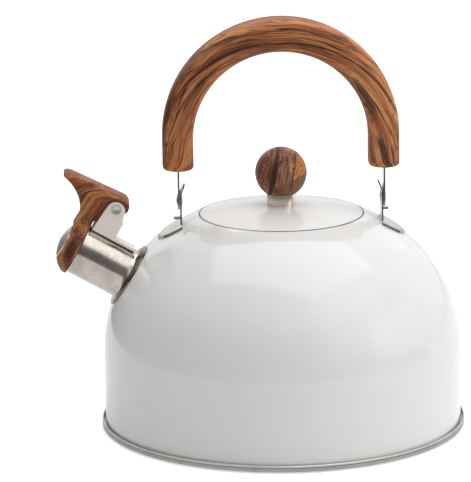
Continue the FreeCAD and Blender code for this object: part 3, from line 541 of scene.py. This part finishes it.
LEVER_VOXEL = 0.36
SMOOTH_PASSES = 90
HEEL_BACK = 6.5         # back of the heel behind the pivot
HEEL_ROUND = 6.8
HEEL_LOW = 1.0
THUMB_TOP = 8.9         # top of the lever above the pivot, at the heel
THUMB_SLOPE = 0.063
THUMB_HALF = 8.0
THUMB_ROUND = 3.2
THUMB_FROM = -2.0       # the thumb's top starts to fall here
RIB_SIDES = ((2.7, 4.9), (-4.9, -2.7))   # the two ribs beside the spring's slot
RIB_AHEAD = (5.2, 9.2)
RIB_ABOVE = (-12.5, -1.0)
HUB_REACH = 8.0         # keeps its shape this far from the pivot, for the bracket's ears
HUB_TOP = 4.5
WORN_OVER = 2.0         # the wear grows over this distance beyond the hub
LEAST_WORN = 0.12       # and is this share at the hub
BEND_BEHIND, BEND_BELOW = 3.0, 2.0      # the point that the grain bends round
BEND_SQUEEZE = 0.45
BEND_RADIUS = 16.0


def softened(node, name, voxel, passes, looseness, reshape, ribs):
    """A hand-finished copy of a CAD node.

    ribs are boxes added to it, as lists of corners. reshape(point) rounds it over, and then
    its edges are worn round where looseness(point) is 1.
    """
    source = frame["nodes"][node]
    made = bpy.data.objects.new(name, source.data.copy())
    scene.collection.objects.link(made)
    bm = bmesh.new()
    bm.from_mesh(made.data)
    for corners in ribs:
        verts = [bm.verts.new(corner) for corner in corners]
        bmesh.ops.convex_hull(bm, input=verts)
    bm.to_mesh(made.data)
    bm.free()

    def settle():
        bpy.context.view_layer.update()
        shape = made.evaluated_get(bpy.context.evaluated_depsgraph_get())
        made.data = bpy.data.meshes.new_from_object(shape)
        made.modifiers.clear()

    weld = made.modifiers.new("weld", "WELD")
    weld.merge_threshold = 0.000002
    remesh = made.modifiers.new("remesh", "REMESH")
    remesh.mode = "VOXEL"
    remesh.voxel_size = voxel * MM
    settle()
    for vertex in made.data.vertices:
        vertex.co = reshape(vertex.co)
    group = made.vertex_groups.new(name="loose")
    for vertex in made.data.vertices:
        group.add([vertex.index], looseness(vertex.co), "REPLACE")
    smooth = made.modifiers.new("smooth", "SMOOTH")
    smooth.factor = 0.5
    smooth.iterations = passes
    smooth.vertex_group = "loose"
    settle()
    made.vertex_groups.clear()
    made.data.name = name
    made.data.materials.clear()
    made.data.polygons.foreach_set("use_smooth", [True] * len(made.data.polygons))
    return made


def from_pivot(point):
    """(ahead along the spout, above it, sideways) in millimetres from the lever's pivot."""
    offset = (point - PIVOT) / MM
    return offset.dot(SPOUT_ALONG), offset.dot(SPOUT_ACROSS), offset.y


def at_pivot(ahead, above, side):
    """The point at these millimetres from the lever's pivot."""
    return PIVOT + (SPOUT_ALONG * ahead + SPOUT_ACROSS * above + Vector((0, side, 0))) * MM


def round_corner(a, b, radius):
    """Depths a and b inside the two faces of an edge, moved on to its rounding."""
    if a >= radius or b >= radius:
        return a, b
    reach = math.hypot(radius - a, radius - b)
    if reach <= radius:
        return a, b
    share = radius / reach
    return radius - (radius - a) * share, radius - (radius - b) * share


def lever_rounding(point):
    """Round heel, and round long edges on top of the thumb."""
    ahead, above, side = from_pivot(point)
    if above < HEEL_LOW:
        return point
    behind, below = round_corner(ahead + HEEL_BACK, THUMB_TOP - above, HEEL_ROUND)
    ahead, above = behind - HEEL_BACK, THUMB_TOP - below
    top = THUMB_TOP - THUMB_SLOPE * max(ahead - THUMB_FROM, 0.0)
    down, inward = round_corner(top - above, THUMB_HALF - abs(side), THUMB_ROUND)
    return at_pivot(ahead, top - down, math.copysign(THUMB_HALF - inward, side))


def lever_looseness(point):
    """How far edges are worn: hardly at the hub, fully everywhere else."""
    ahead, above, _ = from_pivot(point)
    far = max(above - HUB_TOP, math.hypot(ahead, above) - HUB_REACH)
    return min(max(far / WORN_OVER, LEAST_WORN), 1.0)


def lever_grain(point):
    """Grain along the thumb that bends round the pivot and down the neck and head."""
    ahead, above, side = from_pivot(point)
    ahead, above = BEND_SQUEEZE * (ahead + BEND_BEHIND), above + BEND_BELOW
    rise = max(above, 0.0)
    return (math.atan2(rise, ahead) * -BEND_RADIUS + min(above, 0.0),
            math.hypot(ahead, rise), side)


neck_ribs = [[at_pivot(ahead, above, side)
              for ahead in RIB_AHEAD for above in RIB_ABOVE for side in sides]
             for sides in RIB_SIDES]
lever = softened("whistle_lever", "lever_wood", LEVER_VOXEL, SMOOTH_PASSES,
                 lever_looseness, lever_rounding, neck_ribs)
set_grain(lever, [lever_grain(vertex.co) for vertex in lever.data.vertices])
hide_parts("whistle_lever")
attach(lever, "whistle")
LEVER_TONES = (
    (0.26, tone(62, 34, 26)),
    (0.39, tone(114, 64, 40)),
    (0.50, tone(152, 92, 56)),
    (0.61, tone(184, 118, 70)),
    (0.76, tone(222, 160, 100)),
)
lever.data.materials.append(wood("lever_woodgrain", along_curve, LEVER_TONES, seed=9.0,
                                 width=0.6))

# ---------------------------------------------------------------- lever spring, in millimetres

COIL = 2.3              # radius of the coil's centre line
WIRE = 0.4
COIL_SIDE = 1.52        # both legs leave the coil this far from its middle
FOOT_DROP = 15.2        # the first leg stands on the bracket this far below the pin
FOOT_SHARES = (1.0, 0.66, 0.33, 0.1)
LEG_LEAN = 50.0         # turn between the two legs
LEG_LENGTH = 12.4
LEG_SHARES = (0.1, 0.4, 0.7, 1.0)
COIL_START, COIL_END = 180.0, 360.0 * 4 + LEG_LEAN
COIL_STEPS = 100
WIRE_SIDES = 10


def tube(name, path, radius, sides):
    """Round wire along a path of points, with flat ends."""
    verts = []
    side = None
    for i, point in enumerate(path):
        tangent = (path[min(i + 1, len(path) - 1)] - path[max(i - 1, 0)]).normalized()
        side = tangent.orthogonal() if side is None else side
        side = (side - tangent * side.dot(tangent)).normalized()
        other = tangent.cross(side)
        for j in range(sides):
            turn = 2 * math.pi * j / sides
            verts.append(point + (side * math.cos(turn) + other * math.sin(turn)) * radius)
    return mesh_object(name, verts, tube_faces(len(path), sides))


def build_spring():
    """Torsion spring: a leg on the bracket's foot, a coil round the pin, a leg on the lever."""
    path = [at_pivot(COIL, -FOOT_DROP * share, -COIL_SIDE) for share in FOOT_SHARES]
    for step in range(COIL_STEPS + 1):
        share = step / COIL_STEPS
        turn = math.radians(COIL_START + (COIL_END - COIL_START) * share)
        path.append(at_pivot(-COIL * math.cos(turn), -COIL * math.sin(turn),
                             COIL_SIDE * (2 * share - 1)))
    lean = math.radians(LEG_LEAN)
    leg = (SPOUT_ALONG * math.sin(lean) - SPOUT_ACROSS * math.cos(lean)) * (LEG_LENGTH * MM)
    last = path[-1]
    path += [last + leg * share for share in LEG_SHARES]
    return tube("spring_wire", path, WIRE * MM, WIRE_SIDES)


spring = build_spring()
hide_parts("lever_spring")
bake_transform(spring)
spring.data.materials.append(steel("spring_steel", (228, 224, 218), (186, 181, 174), 0.16,
                                   (2, 2, 2), relief=0.1))

# ---------------------------------------------------------------- finishes on the CAD nodes

BALL_TONES = (
    (0.26, tone(64, 40, 38)),
    (0.38, tone(123, 75, 61)),
    (0.50, tone(156, 101, 78)),
    (0.62, tone(190, 132, 102)),
    (0.78, tone(234, 188, 150)),
)
SAPWOOD_TONES = ((0.34, tone(104, 60, 36)), (0.46, tone(176, 108, 56)),
                 (0.56, tone(214, 146, 82)), (0.7, tone(232, 172, 110)))
PLAIN_TONES = ((0.3, tone(98, 66, 46)), (0.5, tone(128, 90, 62)), (0.7, tone(152, 110, 76)))
SAPWOOD_FROM, SAPWOOD_TO = 7.4, 9.4      # left edge of the sapwood, in millimetres
PLAIN_FROM, PLAIN_TO = 0.5, 3.5          # and of the plain wood below it
PLAIN_SHARE = 0.85
EDGE_RAGGED, SEAM_RAGGED = 4.5, 1.2
SEAM_LEVEL = -4.0
SEAM_SLOPE = -0.37
SEAM_HALF = 0.45
SEAM_SHARE = 0.7
SEAM_TONE = (70, 40, 28)


def ball_patch(g, colour, fine):
    """Orange sapwood on the right of the knob, ended below by a seam with plain wood."""
    x, y, z = g.split(g.vector("SUBTRACT", spot(g), BALL_CENTRE))
    across = g.math("MULTIPLY_ADD", z, KNOB_LEAN / MM, g.math("MULTIPLY", x, 1 / MM))
    ragged = g.math("MULTIPLY_ADD", fine, EDGE_RAGGED, across)
    rise = g.math("MULTIPLY_ADD", x, SEAM_SLOPE / MM, g.math("MULTIPLY", z, 1 / MM))
    rise = g.math("MULTIPLY_ADD", fine, SEAM_RAGGED, rise)
    right = g.fit(ragged, SAPWOOD_FROM, SAPWOOD_TO)
    front = g.fit(y, -0.001, 0.001, 1.0, 0.0)
    above = g.fit(rise, SEAM_LEVEL - 0.3, SEAM_LEVEL + 0.2)
    below = g.math("SUBTRACT", 1.0, above)
    colour = g.mix(g.product(right, above, front), colour, g.ramp(fine, SAPWOOD_TONES))
    plain = g.product(below, g.fit(ragged, PLAIN_FROM, PLAIN_TO), front, PLAIN_SHARE)
    colour = g.mix(plain, colour, g.ramp(fine, PLAIN_TONES))
    line = g.fit(g.away_from(rise, SEAM_LEVEL), 0.05, SEAM_HALF, SEAM_SHARE, 0.0)
    return g.mix(g.product(line, right, front), colour, tone(*SEAM_TONE))


finishes = {
    "body_shell": lacquer("white_enamel", gloss=0.16, coat=0.55),
    "lid_shell": lacquer("lid_enamel", gloss=0.14, coat=0.12),
    "base_pan": steel("rim_steel", (206, 204, 200), (190, 187, 183), 0.34, (0.05, 0.05, 1),
                      relief=0.05, shade=rim_groove_shade),
    "capsule_core": steel("cast_aluminium", (168, 168, 166), (138, 138, 138), 0.45, (1, 1, 1)),
    "capsule_cover": steel("base_steel", (190, 187, 182), (160, 157, 152), 0.24, (1, 1, 0.2)),
    "lid_skirt": steel("skirt_steel", (186, 183, 178), (160, 157, 152), 0.26, (0.2, 0.2, 2)),
    "knob_collar": steel("collar_steel", (252, 242, 229), (226, 213, 198), 0.11, (0.2, 0.2, 3),
                         spread=0.03),
    "lid_knob": wood("knob_woodgrain", up_the_knob, BALL_TONES, seed=2.0,
                     marks=((0, 40, -4.8, 0.0, 1.9, 0.92), (4, 16, 6.3, 0.0, 0.7, 0.8),
                            (0, 30, -8.0, 0.0, 0.5, 0.6)),
                     width=0.55, patch=ball_patch),
    "knob_insert": steel("insert_brass", (198, 160, 92), (158, 120, 60), 0.30, (1, 1, 6)),
    "knob_washer": steel("washer_steel", (190, 187, 182), (165, 162, 157), 0.30, (1, 1, 1)),
    "knob_screw": steel("screw_steel", (196, 193, 188), (168, 165, 160), 0.22, (1, 1, 2)),
    "spout_tube": steel("spout_steel", (205, 196, 188), (168, 159, 152), 0.18,
                        (0.5, 0.5, 0.5), shade=flange_shade),
    "spout_bracket": steel("bracket_steel", (255, 246, 236), (248, 238, 228), 0.38, (1, 3, 1),
                           relief=0.05, metallic=0.1),
    "hinge_pin": steel("pin_steel", (214, 208, 202), (196, 190, 184), 0.34, (1, 1, 1),
                       relief=0.05, metallic=0.85),
    "whistle_cap": steel("cap_steel", (226, 216, 208), (198, 189, 182), 0.34, (1, 1, 1),
                         metallic=0.8),
    "whistle_plate": steel("plate_steel", (222, 216, 208), (190, 184, 176), 0.16, (1, 1, 1)),
}
# the ears and straps get painted shade on their edges and round the leaves
for side in ("right", "left"):
    finishes["ear_" + side] = steel("ear_steel_" + side, (204, 202, 198), (172, 169, 164), 0.17,
                                    (1, 3, 1), relief=0.1, shade=painted_edge_shade)
    finishes["rivet_" + side] = steel("rivet_steel_" + side, (222, 218, 212),
                                      (190, 185, 178), 0.20, (1, 1, 1), relief=0.1)
    finishes["strap_" + side] = steel("strap_steel_" + side, (222, 219, 214),
                                      (190, 186, 180), 0.15, (1, 1, 3), relief=0.1,
                                      shade=painted_edge_shade)
for name, material in finishes.items():
    shown = frame["nodes"][name]
    if not shown.material_slots:
        shown.data.materials.append(material)
    for holder in shown.material_slots:
        holder.material = material

# ---------------------------------------------------------------- studio

LIGHT_AIM = Vector((0, 0, 0.10))


def area_light(name, place, wide, tall, watts):
    data = bpy.data.lights.new(name, "AREA")
    data.shape = "RECTANGLE"
    data.size, data.size_y = wide, tall
    data.energy = watts
    lamp = bpy.data.objects.new(name, data)
    lamp.location = place
    lamp.rotation_euler = (LIGHT_AIM - Vector(place)).to_track_quat("-Z", "Y").to_euler()
    lamp.visible_camera = False
    scene.collection.objects.link(lamp)


FLOOR_HALF = 9
FLOOR_GLOW = 0.55            # brings the floor up to white where the camera sees it
FLOOR_MIRRORED = 0.45        # share of that glow that shows in reflections


def build_floor():
    """Pale floor that keeps the kettle's shadow."""
    corners = [(x * FLOOR_HALF, y * FLOOR_HALF, 0)
               for x, y in ((-1, -1), (1, -1), (1, 1), (-1, 1))]
    floor = mesh_object("studio_floor", corners, [(0, 1, 2, 3)], smooth=False)
    g = Graph("pale_floor")
    seen = g.node("LightPath")
    base = g.mix(g.cloudy(spot(g), 3, 2), tone(236, 236, 236), tone(240, 240, 240))
    diffuse = g.node("BsdfDiffuse", {"Color": base})
    glow = g.node("Emission", {"Color": (1, 1, 1, 1), "Strength": FLOOR_GLOW})
    lit = g.node("AddShader", {0: diffuse.outputs[0], 1: glow.outputs[0]})
    mirrored = g.math("MAXIMUM", seen.outputs["Is Glossy Ray"],
                      seen.outputs["Is Transmission Ray"])
    shown = g.math("MAXIMUM", seen.outputs["Is Camera Ray"],
                   g.math("MULTIPLY", mirrored, FLOOR_MIRRORED))
    floor.data.materials.append(g.finish(
        g.node("MixShader", {0: shown, 1: diffuse.outputs[0], 2: lit.outputs[0]})))


def build_world():
    """Soft light from all round, and white where it is seen, mirrored or looked through to."""
    world = bpy.data.worlds.new("studio_world")
    scene.world = world
    world.use_nodes = True
    tree = world.node_tree
    tree.nodes.clear()
    link = tree.links.new

    def add(kind):
        return tree.nodes.new("ShaderNode" + kind)

    def background(strength):
        made = add("Background")
        made.inputs[0].default_value = (1, 1, 1, 1)
        made.inputs[1].default_value = strength
        return made.outputs[0]

    path = add("LightPath")
    shown = path.outputs["Is Camera Ray"]
    for ray in ("Is Glossy Ray", "Is Transmission Ray"):
        either = add("Math")
        either.operation = "MAXIMUM"
        link(shown, either.inputs[0])
        link(path.outputs[ray], either.inputs[1])
        shown = either.outputs[0]
    mixed, out = add("MixShader"), add("OutputWorld")
    link(shown, mixed.inputs[0])
    link(background(WORLD_LEVEL), mixed.inputs[1])
    link(background(1.0), mixed.inputs[2])
    link(mixed.outputs[0], out.inputs[0])


CAMERA_TURN, CAMERA_RISE, CAMERA_ROLL = -3.0, 14.73, 0.53    # degrees
CAMERA_AWAY = 2.064
CAMERA_FOCUS = Vector((0, 0, 0.0658))
AIM_LEFT, AIM_ABOVE = 0.0274, 0.0435     # from the focus to the middle of the view
SENSOR_WIDTH, LENS = 36.0, 259.4


def build_camera():
    """Long lens, 15 degrees above the kettle, aimed so that the spout's side has room."""
    azimuth, elevation = math.radians(CAMERA_TURN), math.radians(CAMERA_RISE)
    roll = math.radians(CAMERA_ROLL)
    right = Vector((math.cos(azimuth), math.sin(azimuth), 0))
    back = Vector((math.sin(azimuth) * math.cos(elevation),
                   -math.cos(azimuth) * math.cos(elevation), math.sin(elevation)))
    up = back.cross(right)
    place = CAMERA_FOCUS + back * CAMERA_AWAY
    aim = CAMERA_FOCUS - right * AIM_LEFT + up * AIM_ABOVE
    level = right * math.cos(roll) - up * math.sin(roll)
    z = (place - aim).normalized()
    x = (level - z * level.dot(z)).normalized()
    y = z.cross(x)
    data = bpy.data.cameras.new("studio_camera")
    data.sensor_width = SENSOR_WIDTH
    data.lens = LENS
    data.clip_start, data.clip_end = 0.05, 50
    camera = bpy.data.objects.new("studio_camera", data)
    camera.matrix_world = Matrix((
        (x.x, y.x, z.x, place.x),
        (x.y, y.y, z.y, place.y),
        (x.z, y.z, z.z, place.z),
        (0, 0, 0, 1)))
    scene.collection.objects.link(camera)
    scene.camera = camera


WALL_FROM, WALL_TO = -150, 95            # degrees round the kettle from the front
WALL_AWAY = 3.1
WALL_STEPS = 48
TABLE_EDGE = 0.50            # where the dark ground beyond the pale table begins
GROUND, WALL_TOP = 0.003, 3.0
WALL_DARK_TO = 0.9           # as dark as the ground up to here, then paler upwards
WALL_DARK, WALL_PALE = 0.20, 1.0


def build_wall():
    """Dark ground and a wall that grows paler upwards. They only show as reflections."""
    corners = []
    for step in range(WALL_STEPS + 1):
        turn = math.radians(WALL_FROM + (WALL_TO - WALL_FROM) * step / WALL_STEPS)
        for away, height in ((TABLE_EDGE, GROUND), (WALL_AWAY, GROUND),
                             (WALL_AWAY, WALL_TOP)):
            corners.append((away * math.sin(turn), -away * math.cos(turn), height))
    faces = [(3 * i + k, 3 * i + k + 1, 3 * i + k + 4, 3 * i + k + 3)
             for i in range(WALL_STEPS) for k in (0, 1)]
    wall = mesh_object("studio_wall", corners, faces, smooth=False)
    g = Graph("graded_wall")
    level = g.fit(g.split(spot(g))[2], WALL_DARK_TO, WALL_TOP, WALL_DARK, WALL_PALE)
    wall.data.materials.append(g.finish(
        g.node("Emission", {"Color": (1, 1, 1, 1), "Strength": level})))
    wall.visible_camera = False
    wall.visible_shadow = False
    wall.visible_diffuse = False


LIGHTS = (                    # name, place, width, height, watts
    ("softbox_right", (1.5, -1.1, 1.25), 2.0, 2.0, 9.9),
    ("softbox_low", (2.0, -0.5, 0.55), 1.4, 1.0, 5.1),
    ("softbox_top", (0.1, 0.2, 2.1), 2.6, 2.2, 33.0),
    ("softbox_back", (0.1, 1.7, 1.5), 2.8, 1.8, 6.1),
)
WORLD_LEVEL = 0.255

build_camera()
build_world()
build_floor()
build_wall()
for light in LIGHTS:
    area_light(*light)

scene.view_settings.view_transform = "Standard"
